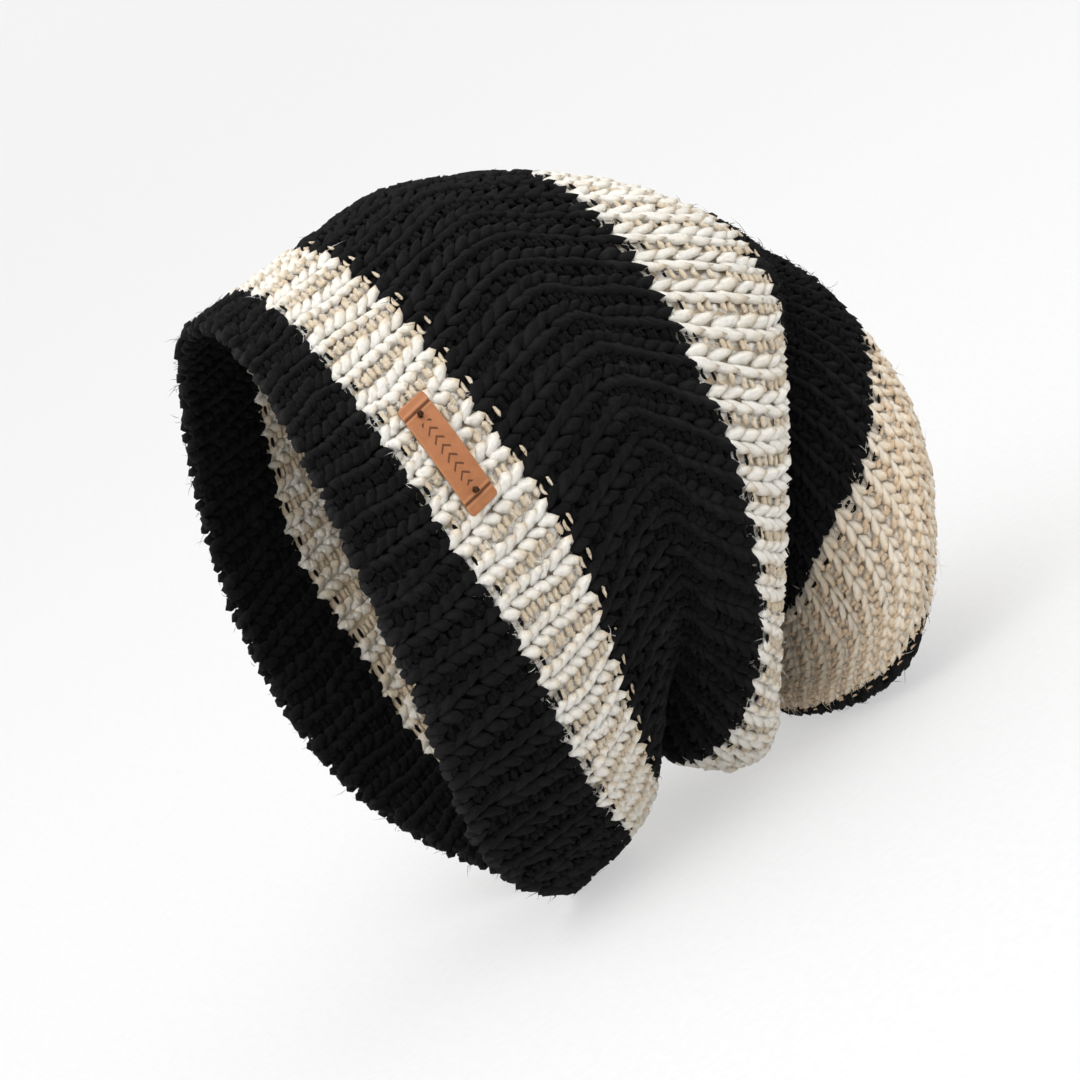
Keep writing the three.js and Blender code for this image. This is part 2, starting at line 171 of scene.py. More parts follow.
# ------------------------------------------------------------------ draped surface
STATIONS = np.array([ring[0] for ring in RINGS]) * KNIT_LENGTH
RING_SCALE = np.array([RIM_HEIGHT] * 4 + [RIM_WIDTH / 2] + [RIM_HEIGHT] * 6)
RING_VALUES = np.array([ring[1:] for ring in RINGS]) * RING_SCALE


def ring_slopes():
    index = np.arange(len(RINGS))
    before = np.maximum(index - 1, 0)
    after = np.minimum(index + 1, len(RINGS) - 1)
    rise = RING_VALUES[after] - RING_VALUES[before]
    return rise / (STATIONS[after] - STATIONS[before])[:, None]


RING_SLOPES = ring_slopes()


def ring_measures(at):
    """The measures of the rings at the distances `at` along the knit, smooth between the set rings."""
    index = np.clip(np.searchsorted(STATIONS, at, side="right") - 1, 0, len(RINGS) - 2)
    span = (STATIONS[index + 1] - STATIONS[index])[:, None]
    t = (at[:, None] - STATIONS[index][:, None]) / span
    start_weight = 2 * t**3 - 3 * t**2 + 1
    slope_part = (t**3 - 2 * t**2 + t) * RING_SLOPES[index] + (t**3 - t**2) * RING_SLOPES[index + 1]
    return start_weight * RING_VALUES[index] + (1 - start_weight) * RING_VALUES[index + 1] + span * slope_part


def ring_points(at, angle):
    """Points on the ring at each distance `at`, for a row of angles each: 0 is the top, a quarter turn -Y."""
    measures = (measure[:, None] for measure in ring_measures(at).T)
    top_x, top_z, bottom_x, bottom_z, half, lean, tilt, dent, near_low, far_high, far_low = measures
    reach = np.hypot(top_x - bottom_x, top_z - bottom_z) / 2
    up_x = (top_x - bottom_x) / (2 * reach)
    up_z = (top_z - bottom_z) / (2 * reach)
    from_top = np.arctan2(np.sin(angle), np.cos(angle))
    along = reach * np.cos(angle) - dent * np.exp(-((from_top / DENT_SPREAD) ** 2))
    low = np.where(np.sin(angle) > 0, near_low, far_low)
    high = np.where(np.sin(angle) > 0, 0, far_high)
    side = np.sin(angle) ** 2 * (lean + 2 * tilt * np.cos(angle))
    side += np.where(np.cos(angle) < 0, low, high) * np.sin(2 * angle) ** 2
    x = (top_x + bottom_x) / 2 + along * up_x + side * up_z
    y = -half * np.sin(angle)
    z = (top_z + bottom_z) / 2 + along * up_z - side * up_x
    return np.stack([x, y, z], axis=-1)


AT_CELLS = 340
TURN_CELLS = 1080


def skin_tables():
    """Points, outward normals and girths of the skin at even distances and even turns."""
    at = np.linspace(0, KNIT_LENGTH, AT_CELLS + 1)
    angle = np.linspace(0, 2 * np.pi, 721)
    ring = ring_points(at, np.broadcast_to(angle, (len(at), len(angle))))
    steps = np.linalg.norm(np.diff(ring, axis=1), axis=-1)
    length = np.concatenate([np.zeros((len(at), 1)), np.cumsum(steps, axis=1)], axis=1)
    girth = length[:, -1]
    turns = np.arange(TURN_CELLS) / TURN_CELLS
    even = np.array([np.interp(turns * g, l, angle) for g, l in zip(girth, length)])
    points = ring_points(at, even)
    along = np.gradient(points, axis=0)
    round_ = np.roll(points, -1, axis=1) - np.roll(points, 1, axis=1)
    normals = np.cross(round_, along)
    normals /= np.linalg.norm(normals, axis=-1, keepdims=True)
    return points, normals, girth


SKIN_POINTS, SKIN_NORMALS, GIRTHS = skin_tables()


# The rim's bottom point in the frame, which the drape's places are measured from.
SKIN_MIDDLE = (SKIN_POINTS.min(axis=(0, 1)) + SKIN_POINTS.max(axis=(0, 1))) / 2
RIM_BOTTOM = (np.array(CAD_LOW) + np.array(CAD_HIGH)) / 2 - SKIN_MIDDLE
SKIN_POINTS += RIM_BOTTOM


def girth_at(at):
    return np.interp(at, np.linspace(0, KNIT_LENGTH, AT_CELLS + 1), GIRTHS)


def on_skin(at, turn, depth):
    """Points `depth` under the outer skin, with the outward normals there. All arrays have one shape."""
    row = np.clip(at / KNIT_LENGTH * AT_CELLS, 0, AT_CELLS - 1e-6)
    column = np.mod(turn, 1) * TURN_CELLS
    i = row.astype(int)
    j = np.minimum(column.astype(int), TURN_CELLS - 1)
    next_j = (j + 1) % TURN_CELLS
    row_share = (row - i)[..., None]
    column_share = (column - j)[..., None]

    def mixed(table):
        near = table[i, j] * (1 - column_share) + table[i, next_j] * column_share
        far = table[i + 1, j] * (1 - column_share) + table[i + 1, next_j] * column_share
        return near * (1 - row_share) + far * row_share

    normal = mixed(SKIN_NORMALS)
    normal /= np.linalg.norm(normal, axis=-1, keepdims=True)
    return mixed(SKIN_POINTS) - normal * np.asarray(depth)[..., None], normal


# ------------------------------------------------------------------ mesh building
class Pile:
    """Collects the geometry of one piece: points, faces, and each point's yarn place, painted light and
    shade, and tone.
    """

    def __init__(self):
        self.points, self.faces, self.yarn, self.look = [], [], [], []
        self.count = 0

    def add(self, points, faces, yarn, look):
        self.points.append(points.reshape(-1, 3))
        self.faces.extend(face + self.count for face in faces)
        self.yarn.append(yarn.reshape(-1, 3))
        self.look.append(look.reshape(-1, 3))
        self.count += self.points[-1].shape[0]

    def to_piece(self, name, material):
        mesh = bpy.data.meshes.new(name)
        points = np.concatenate(self.points)
        mesh.vertices.add(len(points))
        mesh.vertices.foreach_set("co", points.astype(np.float32).ravel())
        corners = np.concatenate([face.ravel() for face in self.faces])
        sizes = np.concatenate([np.full(len(face), face.shape[1]) for face in self.faces])
        mesh.loops.add(len(corners))
        mesh.loops.foreach_set("vertex_index", corners.astype(np.int32))
        mesh.polygons.add(len(sizes))
        starts = np.concatenate([[0], np.cumsum(sizes)[:-1]])
        mesh.polygons.foreach_set("loop_start", starts.astype(np.int32))
        mesh.update(calc_edges=True)
        mesh.polygons.foreach_set("use_smooth", np.ones(len(sizes), bool))
        for title, values in (("yarn", self.yarn), ("look", self.look)):
            attribute = mesh.attributes.new(title, "FLOAT_VECTOR", "POINT")
            attribute.data.foreach_set("vector", np.concatenate(values).astype(np.float32).ravel())
        mesh.materials.append(material)
        piece = bpy.data.objects.new(name, mesh)
        bpy.context.scene.collection.objects.link(piece)
        return piece


def tube_faces(tubes, rings, sides):
    """Faces of closed tubes whose points are stored tube by tube: rings first, then the two tips."""
    stride = rings * sides + 2
    base = (np.arange(tubes) * stride)[:, None, None]
    ring = (np.arange(rings - 1) * sides)[None, :, None]
    side = np.arange(sides)[None, None, :]
    after = (side + 1) % sides
    quads = [base + ring + side, base + ring + after, base + ring + sides + after, base + ring + sides + side]
    quads = np.stack(np.broadcast_arrays(*quads), axis=-1).reshape(-1, 4)
    base = base[:, :, 0]
    side, after = side[0], after[0]
    start_tip = base + rings * sides + 0 * side
    last = (rings - 1) * sides
    start_fan = np.stack([start_tip, base + after, base + side], axis=-1).reshape(-1, 3)
    end_fan = np.stack([start_tip + 1, base + last + side, base + last + after], axis=-1).reshape(-1, 3)
    return [quads, start_fan, end_fan]


def add_tubes(pile, path, upward, wide, high, sides, shade, tone, twist=0.0):
    """Adds tubes along the paths (tube, step, xyz), whose first and last steps are tips. `wide` and `high`
    are the radii at the steps between, and `upward` the direction that `high` is measured in."""
    tubes, steps, _ = path.shape
    rings = steps - 2
    tangent = np.gradient(path, axis=1)
    tangent /= np.linalg.norm(tangent, axis=-1, keepdims=True)
    across = np.cross(tangent, upward)
    across /= np.linalg.norm(across, axis=-1, keepdims=True)
    lift = np.cross(across, tangent)
    angle = np.arange(sides) * 2 * np.pi / sides
    cos, sin = np.cos(angle)[:, None], np.sin(angle)[:, None]
    middle = slice(1, -1)
    lumps = 1 + random.normal(0, LUMPS, (tubes, rings, sides, 1))
    ring = path[:, middle, None] + across[:, middle, None] * wide[..., None, None] * cos * lumps
    ring = ring + lift[:, middle, None] * high[..., None, None] * sin * lumps
    tips = path[:, [0, -1]]
    points = np.concatenate([ring.reshape(tubes, -1, 3), tips], axis=1)
    strides = np.linalg.norm(np.diff(path, axis=1), axis=-1)
    run = np.concatenate([np.zeros((tubes, 1)), np.cumsum(strides, axis=1)], axis=1)
    turned = angle[None, None, :] + twist * run[:, middle, None]
    offset = random.uniform(0, YARN_SPREAD, (tubes, 1, 3))
    yarn_x = np.broadcast_to(run[:, middle, None], turned.shape)
    yarn_y = wide[..., None] * np.cos(turned)
    yarn_z = high[..., None] * np.sin(turned)
    yarn = np.stack([yarn_x, yarn_y, yarn_z], axis=-1) / MM
    tip_yarn = np.zeros((tubes, 2, 3))
    tip_yarn[..., 0] = run[:, [0, -1]] / MM
    yarn = np.concatenate([yarn.reshape(tubes, -1, 3), tip_yarn], axis=1) + offset
    # Painted shade of each step, lightened on the top of each strand as a painted highlight.
    painted_shading = shade[:, middle, None] - TOP_PAINTED_HIGHLIGHT * sin[:, 0]
    shades = np.concatenate([painted_shading.reshape(tubes, -1), shade[:, [0, -1]]], axis=1)
    tones = np.broadcast_to(np.asarray(tone)[:, None], shades.shape)
    look = np.stack([shades, tones, np.zeros_like(shades)], axis=-1)
    pile.add(points, tube_faces(tubes, rings, sides), yarn, look)


# ------------------------------------------------------------------ knitting
def ribs_at(at):
    ribs = np.full(at.shape, RIBS)
    for distance, fewer in DECREASES:
        ribs = np.where(at > distance, fewer, ribs)
    return ribs


def rib_sink(share):
    """How far the ribbed face lies below its crests, `share` of a rib's width from the middle of a rib."""
    return VALLEY * (0.5 - 0.5 * np.cos(2 * np.pi * share))


def rows_of(start, length):
    """Distance of each stitch of a stripe along the knit, its rib's number, and the ribs in its round."""
    count = round(length / ROW)
    at = start + length * (np.arange(count) + 0.5) / count
    ats, numbers, ribs = [], [], []
    for distance, in_round in zip(at, ribs_at(at)):
        ats.append(np.full(in_round, distance))
        numbers.append(np.arange(in_round))
        ribs.append(np.full(in_round, in_round))
    return np.concatenate(ats), np.concatenate(numbers), np.concatenate(ribs), length / count


def drift(at, turn):
    """Slow wander of the rows and ribs, as a distance along the knit and a share of a rib."""
    along = sum(reach * np.sin(2 * np.pi * (waves * turn + at / wave)) for reach, waves, wave in ROW_WANDER)
    aside = sum(reach * np.sin(2 * np.pi * (waves * turn + at / wave)) for reach, waves, wave in RIB_WANDER)
    return along, aside


def add_legs(pile, start, length, inside=False):
    """The knit stitches: two plump slanted legs each, which make the ribs' braided crests."""
    at, number, ribs, row = rows_of(start, length)
    stitches = len(at)
    rings, sides = (4, 4) if inside else (9, 7)
    s = np.linspace(0, 1, rings + 2)[None, :]
    rib_width = girth_at(at) / ribs
    plump = 1 + random.normal(0, 0.07, stitches)
    radius = np.minimum(LEG_RADIUS, LEG_SHARE * rib_width) * plump
    tone = random.normal(0, 1, stitches)
    swell = np.sin(np.pi * s[:, 1:-1]) ** 0.45
    for side in (-1, 1):
        aside = side * (0.03 + 0.25 * s**0.85) + random.normal(0, 0.015, (stitches, 1))
        forth = row * (-0.72 + 1.4 * s) + random.normal(0, 0.22 * MM, (stitches, 1))
        along, wander = drift(at[:, None], (number / ribs)[:, None])
        dive = LEG_DIVE * ((1 - s) ** 2 + s**3)
        depth = radius[:, None] * 0.95 + rib_sink(aside) * 0.85 + dive
        # Painted shade: darker the deeper the leg lies in the rib's valley and where its ends dive behind
        # their neighbours.
        shade = (rib_sink(aside) + dive) / VALLEY
        if inside:
            depth = WALL - depth
        turn = (number[:, None] + 0.5 + (0.5 if inside else 0) + aside + wander) / ribs[:, None]
        path, normal = on_skin(np.maximum(at[:, None] + forth + along, 0.6 * MM), turn, depth)
        wide = radius[:, None] * swell
        add_tubes(pile, path, normal, wide, wide * 0.92, sides, shade, tone, twist=side * 500.0)


def add_bumps(pile, start, length, inside=False):
    """The purl bumps in the valleys. They show the yarn of the round below, so they lie one row on."""
    at, number, ribs, row = rows_of(start, length)
    at = at + row
    kept = at < KNIT_LENGTH
    at, number, ribs = at[kept], number[kept], ribs[kept]
    stitches = len(at)
    s = np.linspace(-1, 1, 6)[None, :]
    crossing = at > start + length
    radius = np.minimum(BUMP_RADIUS, 0.11 * girth_at(at) / ribs) * np.where(crossing, 0.55, 1)
    tone = random.normal(0, 1, stitches)
    for half in (-1, 1):
        aside = 0.17 * s + random.normal(0, 0.03, (stitches, 1))
        forth = row * 0.25 * half + 0.5 * MM * half * (1 - s**2)
        forth = forth + random.normal(0, 0.35 * MM, (stitches, 1))
        along, wander = drift(at[:, None], (number / ribs)[:, None])
        depth = VALLEY - 0.1 * MM + 0.7 * MM * s**2 + random.normal(0, 0.12 * MM, (stitches, 1))
        depth = depth + 0.5 * MM * crossing[:, None]
        if inside:
            depth = WALL - depth
        # Painted shade: the bumps deep in the valleys are painted darker than the valley colour, more so at
        # their ends.
        shade = np.broadcast_to(1.1 + 0.2 * s**2, (stitches, s.shape[1]))
        turn = (number[:, None] + 1.0 + (0.5 if inside else 0) + aside + wander) / ribs[:, None]
        path, normal = on_skin(at[:, None] + forth + along, turn, depth)
        wide = radius[:, None] * np.sin(np.pi * np.linspace(0, 1, 6)[None, 1:-1]) ** 0.4
        add_tubes(pile, path, normal, wide, wide, 4, shade, tone, twist=400.0)


def add_backing(pile, start, length):
    """The closed web of yarn behind the stitches, which follows the ribs on both faces."""
    rows = round(length / ROW) + 1
    columns = 4 * RIBS
    at = np.linspace(start, start + length, rows)
    at[0] += 0.15 * MM if start > 0 else BACKING_START
    at[-1] -= 0.15 * MM
    turn = np.arange(columns) / columns
    grid_at, grid_turn = np.meshgrid(at, turn, indexing="ij")
    share = turn * RIBS - 0.5
    wave = rib_sink(share)[None, :] / VALLEY + 0 * grid_at
    outer, _ = on_skin(grid_at, grid_turn, 2.2 * MM + 1.1 * MM * wave)
    inner, _ = on_skin(grid_at, grid_turn, 3.6 * MM + 0.4 * MM * wave)
    points = np.concatenate([outer, inner[::-1]])
    loop_rows = 2 * rows
    row = np.arange(loop_rows)[:, None]
    column = np.arange(columns)[None, :]
    next_row = (row + 1) % loop_rows
    next_column = (column + 1) % columns
    corner = [row * columns + column, row * columns + next_column]
    corner += [next_row * columns + next_column, next_row * columns + column]
    faces = np.stack(np.broadcast_arrays(*corner), axis=-1).reshape(-1, 4)
    flat = points.reshape(-1, 3)
    look = np.zeros((len(flat), 3))
    # The backing is painted in the darkest shade, past the valley colour.
    look[:, 0] = 1.3
    pile.add(points, [faces], flat / MM, look)


def add_edge(pile):
    """Cast-on loops that wrap the free edge, a large one on each rib and a small one in each valley."""
    s = np.linspace(0, 1, 13)[None, :]
    for share, size in ((0.5, 1.15), (0.25, 0.85), (0.75, 0.85), (0.0, 0.65)):
        number = np.arange(RIBS)[:, None]
        turn = (number + share + random.normal(0, 0.02, (RIBS, 1))) / RIBS + 0 * s
        radius = EDGE_RADIUS * size * (1 + random.normal(0, 0.05, (RIBS, 1)))
        reach = WALL / 2 - radius
        at = radius + (1 - size) * SCALLOP + 3.5 * MM * (2 * s - 1) ** 2
        depth = WALL / 2 - (reach + 0.2 * MM) * np.cos(np.pi * s)
        path, normal = on_skin(at, turn, depth)
        outward = normal * np.cos(np.pi * s)[..., None]
        outward = outward + np.array([-1.0, 0, 0]) * np.sin(np.pi * s)[..., None]
        wide = radius * np.sin(np.pi * s[:, 1:-1]) ** 0.6
        # Painted shade: the smaller loops, which lie further back, are painted darker.
        shade = 0.15 + 0.3 * (1 - size) + 0 * turn
        add_tubes(pile, path, outward, wide * 0.95, wide, 6, shade, random.normal(0, 1, RIBS), twist=400.0)


def add_fibres(pile, start, length, per_stitch):
    """Loose fibres that stand off the yarn."""
    at, number, ribs, row = rows_of(start, length)
    at = np.repeat(at, per_stitch)
    number = np.repeat(number, per_stitch)
    ribs = np.repeat(ribs, per_stitch)
    count = len(at)
    aside = random.uniform(-0.5, 0.5, count)
    at = at + random.uniform(-0.5, 0.5, count) * row
    turn = (number + 0.5 + aside) / ribs
    root, normal = on_skin(at, turn, rib_sink(aside) * 0.8 - 0.05 * MM)
    lie = np.cross(normal, random.normal(0, 1, (count, 3)))
    lie /= np.linalg.norm(lie, axis=-1, keepdims=True)
    curl = np.cross(normal, lie) * random.normal(0, 0.6, (count, 1))
    reach = random.gamma(4.0, FIBRE_REACH / 4, count)[:, None]
    lean = random.uniform(0.15, 0.6, (count, 1))
    heading = normal * lean + lie * (1 - lean * 0.6)
    s = np.linspace(0, 1, 4)
    path = [root + heading * reach * t + (curl - normal * 0.2) * reach * t**2 for t in s]
    path = np.stack(path, axis=1)
    wide = np.broadcast_to(FIBRE_RADIUS * np.array([1.0, 0.75]), (count, 2))
    upward = np.broadcast_to(np.cross(heading, curl + lie)[:, None], path.shape)
    # Painted shade: fibres over the valleys are painted darker.
    shade = np.repeat(rib_sink(aside)[:, None] / VALLEY, 4, axis=1)
    add_tubes(pile, path, upward, wide, wide, 3, shade, random.normal(0, 1, count))


# ------------------------------------------------------------------ label
def label_lift(across):
    """Height of the label's underside above the knit."""
    arch = LABEL_ARCH * (1 - (np.abs(across) / (LABEL_LENGTH / 2)) ** 2)
    past_fold = np.maximum(np.abs(across) - (LABEL_LENGTH / 2 - LABEL_END_FOLD), 0) / LABEL_END_FOLD
    return GAP + arch * (1 - LABEL_END_DROP * past_fold)


def label_points(across, along, height):
    turn = LABEL_TURN + across / girth_at(LABEL_MIDDLE)
    return on_skin(LABEL_MIDDLE + along, turn, -label_lift(across) - height)[0]


def label_marks(across, along):
    """How deep each place is pressed by the row of marks, from 0 to 1."""
    place = np.mod(across / MARK_PITCH, 1) - 0.5
    arm = place * MARK_PITCH - (np.abs(along) - MARK_HEIGHT / 2) * 0.75
    line = np.clip(1.5 - np.abs(arm) / MARK_LINE, 0, 1)
    inside = (np.abs(along) < MARK_HEIGHT) & (np.abs(across) < MARK_REACH)
    return line * inside


def label_relief(across, along, half_width):
    """Height of the leather's face, with how much painted shade darkens it and how much painted highlight
    lightens it at each place.
    """
    edge = np.minimum(half_width - np.abs(along), LABEL_LENGTH / 2 - np.abs(across))
    bevel = np.clip(1 - edge / LABEL_BEVEL, 0, 1)
    from_fold = np.abs(across) - (LABEL_LENGTH / 2 - LABEL_END_FOLD)
    groove = np.exp(-((from_fold / (0.4 * MM)) ** 2))
    lip = np.exp(-(((from_fold - 1.0 * MM) / (0.45 * MM)) ** 2))
    lip = lip + np.exp(-(((from_fold + 0.9 * MM) / (0.4 * MM)) ** 2))
    from_hole = np.hypot(np.abs(across) - (LABEL_LENGTH / 2 - HOLE_FROM_END), along)
    pit = 1 / (1 + np.exp((from_hole - HOLE_RADIUS) / (0.09 * MM)))
    marks = label_marks(across, along)
    height = LABEL_THICKNESS - BEVEL_DROP * bevel**2 - CREASE_DEPTH * groove + CREASE_LIP * lip
    height = height - PIT_DEPTH * pit - MARK_DEPTH * marks
    # Painted shade in the fold creases, stitch pits and pressed marks, and painted highlights on the bevelled
    # edges and the lips beside the creases.
    dark = np.clip(0.85 * groove + pit + 0.9 * marks, 0, 1)
    pale = np.clip(bevel * 0.9 + 0.6 * lip, 0, 1)
    return height, dark, pale


def make_label():
    """A leather strip with rounded corners, creases where its ends fold down, and a row of pressed marks."""
    across = np.linspace(-0.5, 0.5, LABEL_STEPS + 1)[:, None] * LABEL_LENGTH
    to_end = np.minimum(LABEL_LENGTH / 2 - np.abs(across), LABEL_CORNER)
    half_width = LABEL_WIDTH / 2 - LABEL_CORNER
    half_width = half_width + np.sqrt(LABEL_CORNER**2 - (LABEL_CORNER - to_end) ** 2)
    along = np.linspace(-1, 1, LABEL_LANES + 1)[None, :] * half_width
    across = across + 0 * along
    height, dark, pale = label_relief(across, along, half_width)
    face = label_points(across, along, height)
    back = label_points(across, along, 0 * height)
    size = face.shape[0] * face.shape[1]
    corner = np.arange(size).reshape(face.shape[:2])
    grid = [corner[:-1, :-1], corner[1:, :-1], corner[1:, 1:], corner[:-1, 1:]]
    top = np.stack(grid, axis=-1).reshape(-1, 4)
    rim = np.concatenate([corner[:, 0], corner[-1, 1:], corner[-2::-1, -1], corner[0, -2:0:-1]])
    after = np.roll(rim, -1)
    walls = np.stack([rim, rim + size, after + size, after], axis=-1)
    look = np.stack([dark, pale, 0 * dark], axis=-1).reshape(-1, 3)
    points = np.concatenate([face.reshape(-1, 3), back.reshape(-1, 3)])
    pile = Pile()
    pile.add(points, [top, top[:, ::-1] + size, walls], points / MM, np.concatenate([look, look]))
    piece = pile.to_piece("label_leather", MATERIALS["leather"])
    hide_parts("leather_label")
    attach(piece, "hat_body")


def add_strand(pile, path, upward, radius, sides=8, twist=400.0):
    """One strand of thread or yarn along a single path (step, xyz), with rounded ends."""
    steps = len(path)
    share = np.linspace(0, 1, steps)[1:-1]
    taper = np.minimum(1, np.sin(np.pi * share) * 6) ** 0.5
    wide = (radius * taper)[None, :]
    add_tubes(pile, path[None], upward[None], wide, wide, sides, np.full((1, steps), 0.4), np.zeros(1), twist)


def add_knot(pile, centre, radius, strand):
    """A trefoil knot, tight enough to look like one lump, with its outline at `radius`."""
    t = np.linspace(0, 2 * np.pi, 90)
    reach = (radius - strand) / 1.4
    ring = reach * (1 + 0.4 * np.cos(3 * t))
    offset = np.stack([ring * np.cos(2 * t), ring * np.sin(2 * t), reach * np.sin(3 * t)], axis=-1)
    add_strand(pile, centre + offset, offset + np.array([0, 0, 1e-5]), strand, twist=300.0)


def make_label_stitches():
    for number, side in ((1, -1), (2, 1)):
        across = np.array([side * (LABEL_LENGTH / 2 - HOLE_FROM_END)])
        foot = label_points(across, np.zeros(1), np.zeros(1))[0]
        outward = label_points(across, np.zeros(1), np.full(1, MM))[0] - foot
        outward /= np.linalg.norm(outward)
        strand_top = LABEL_THICKNESS + GAP
        pile = Pile()
        stem = foot + outward * np.linspace(0, strand_top + BEAD_RADIUS, 12)[:, None]
        add_strand(pile, stem, np.broadcast_to((0.0, 1.0, 0.0), stem.shape), THREAD_RADIUS)
        add_knot(pile, foot + outward * (strand_top + BEAD_RADIUS), BEAD_RADIUS, THREAD_RADIUS)
        piece = pile.to_piece(f"label_stitch_{number}_thread", MATERIALS["thread"])
        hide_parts(f"label_stitch_{number}")
        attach(piece, "hat_body")


# ------------------------------------------------------------------ yarn inside
def add_plies(pile, path, normal):
    """A strand of two plies that wind round each other along the path."""
    tangent = np.gradient(path, axis=0)
    tangent /= np.linalg.norm(tangent, axis=-1, keepdims=True)
    aside = np.cross(tangent, normal)
    aside /= np.linalg.norm(aside, axis=-1, keepdims=True)
    lift = np.cross(aside, tangent)
    run = np.concatenate([[0], np.cumsum(np.linalg.norm(np.diff(path, axis=0), axis=-1))])
    for phase in (0, np.pi):
        angle = (2 * np.pi * run / PLY_TURN + phase)[:, None]
        offset = PLY_OFFSET * (np.cos(angle) * aside + np.sin(angle) * lift)
        add_strand(pile, path + offset, lift, PLY_RADIUS)


def make_yarn_ends():
    """Two tails knotted over each colour change, lying on the inside of the knit."""
    at = 0.0
    for index, (_, _, length) in enumerate(STRIPES[:-1]):
        at += length
        share = np.linspace(-1, 1, TAIL_STEPS)
        turn = YARN_END_TURN + YARN_END_SWAY * np.sin(2 * np.pi * share)
        depth = np.full(TAIL_STEPS, WALL + 2 * GAP + KNOT_RADIUS)
        middle = TAIL_STEPS // 2 - 1
        path, normal = on_skin(at + YARN_END_REACH * share, turn, depth)
        pile = Pile()
        add_plies(pile, path, normal)
        add_knot(pile, path[middle : middle + 2].mean(axis=0), KNOT_RADIUS, KNOT_STRAND)
        yarn = STRIPES[index + 1][1]
        piece = pile.to_piece(f"yarn_end_{index + 1}_plied", MATERIALS[yarn])
        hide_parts(f"yarn_end_{index + 1}")
        settle(piece, index + 1)


def make_gather():
    """The ring of yarn that draws the last round in, and the knot that holds it."""
    top_x, top_z, bottom_x, bottom_z = ring_measures(np.array([KNIT_LENGTH]))[0, :4]
    across = np.array([top_x - bottom_x, 0, top_z - bottom_z])
    radius = np.linalg.norm(across) / 2 - GATHER_CLEARANCE - YARN_RADIUS
    across /= np.linalg.norm(across)
    inward = np.array([-across[2], 0, across[0]])
    centre = RIM_BOTTOM + np.array([(top_x + bottom_x) / 2, 0, (top_z + bottom_z) / 2])
    t = np.linspace(0, 2 * np.pi, TAIL_STEPS)[:, None]
    ring = radius * (np.cos(t) * across + np.sin(t) * np.array([0, 1, 0]))
    pile = Pile()
    add_plies(pile, centre + inward * WALL / 2 + ring, np.broadcast_to(inward, ring.shape))
    piece = pile.to_piece("gather_yarn_plied", MATERIALS["black"])
    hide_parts("gather_yarn")
    settle(piece, len(STRIPES) - 1)
    pile = Pile()
    knot_depth = WALL / 2 + YARN_RADIUS + GAP + KNOT_RADIUS
    add_knot(pile, centre + inward * knot_depth, KNOT_RADIUS, KNOT_STRAND)
    piece = pile.to_piece("gather_knot_plied", MATERIALS["black"])
    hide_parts("gather_knot")
    settle(piece, len(STRIPES) - 1)


# ------------------------------------------------------------------ materials
class Nodes:
    """A material's node tree, with short ways to add and join nodes."""

    def __init__(self, name):
        self.material = bpy.data.materials.new(name)
        self.material.use_nodes = True
        self.tree = self.material.node_tree
        self.shader = self.tree.nodes["Principled BSDF"]

    def add(self, kind, **settings):
        node = self.tree.nodes.new(kind)
        for key, value in settings.items():
            setattr(node, key, value)
        return node

    def link(self, source, target):
        self.tree.links.new(source, target)

    def set(self, **values):
        for key, value in values.items():
            self.shader.inputs[key.replace("_", " ")].default_value = value

    def attribute(self, name):
        return self.add("ShaderNodeAttribute", attribute_name=name)

    def noise(self, vector, scale, detail=2.0, roughness=0.5):
        node = self.add("ShaderNodeTexNoise")
        node.inputs["Scale"].default_value = scale
        node.inputs["Detail"].default_value = detail
        node.inputs["Roughness"].default_value = roughness
        if vector is not None:
            self.link(vector, node.inputs["Vector"])
        return node.outputs["Fac"]

    def math(self, operation, *values, clamp=False):
        node = self.add("ShaderNodeMath", operation=operation, use_clamp=clamp)
        for socket, value in zip(node.inputs, values):
            if isinstance(value, (int, float)):
                socket.default_value = value
            else:
                self.link(value, socket)
        return node.outputs[0]

    def ramp(self, factor, stops):
        node = self.add("ShaderNodeValToRGB")
        while len(node.color_ramp.elements) < len(stops):
            node.color_ramp.elements.new(0.5)
        for element, (position, colour) in zip(node.color_ramp.elements, stops):
            element.position = position
            element.color = (*colour, 1)
        self.link(factor, node.inputs["Fac"])
        return node.outputs["Color"]

    def mix(self, factor, first, second, blend="MIX"):
        node = self.add("ShaderNodeMix", data_type="RGBA", blend_type=blend)
        sockets = (node.inputs[0], node.inputs[6], node.inputs[7])
        for socket, value in zip(sockets, (factor, first, second)):
            if isinstance(value, (int, float)):
                socket.default_value = value
            elif isinstance(value, tuple):
                socket.default_value = (*value, 1)
            else:
                self.link(value, socket)
        return node.outputs[2]

    def bump(self, height, strength, distance, normal=None):
        node = self.add("ShaderNodeBump")
        node.inputs["Strength"].default_value = strength
        node.inputs["Distance"].default_value = distance
        self.link(height, node.inputs["Height"])
        if normal is not None:
            self.link(normal, node.inputs["Normal"])
        return node.outputs["Normal"]


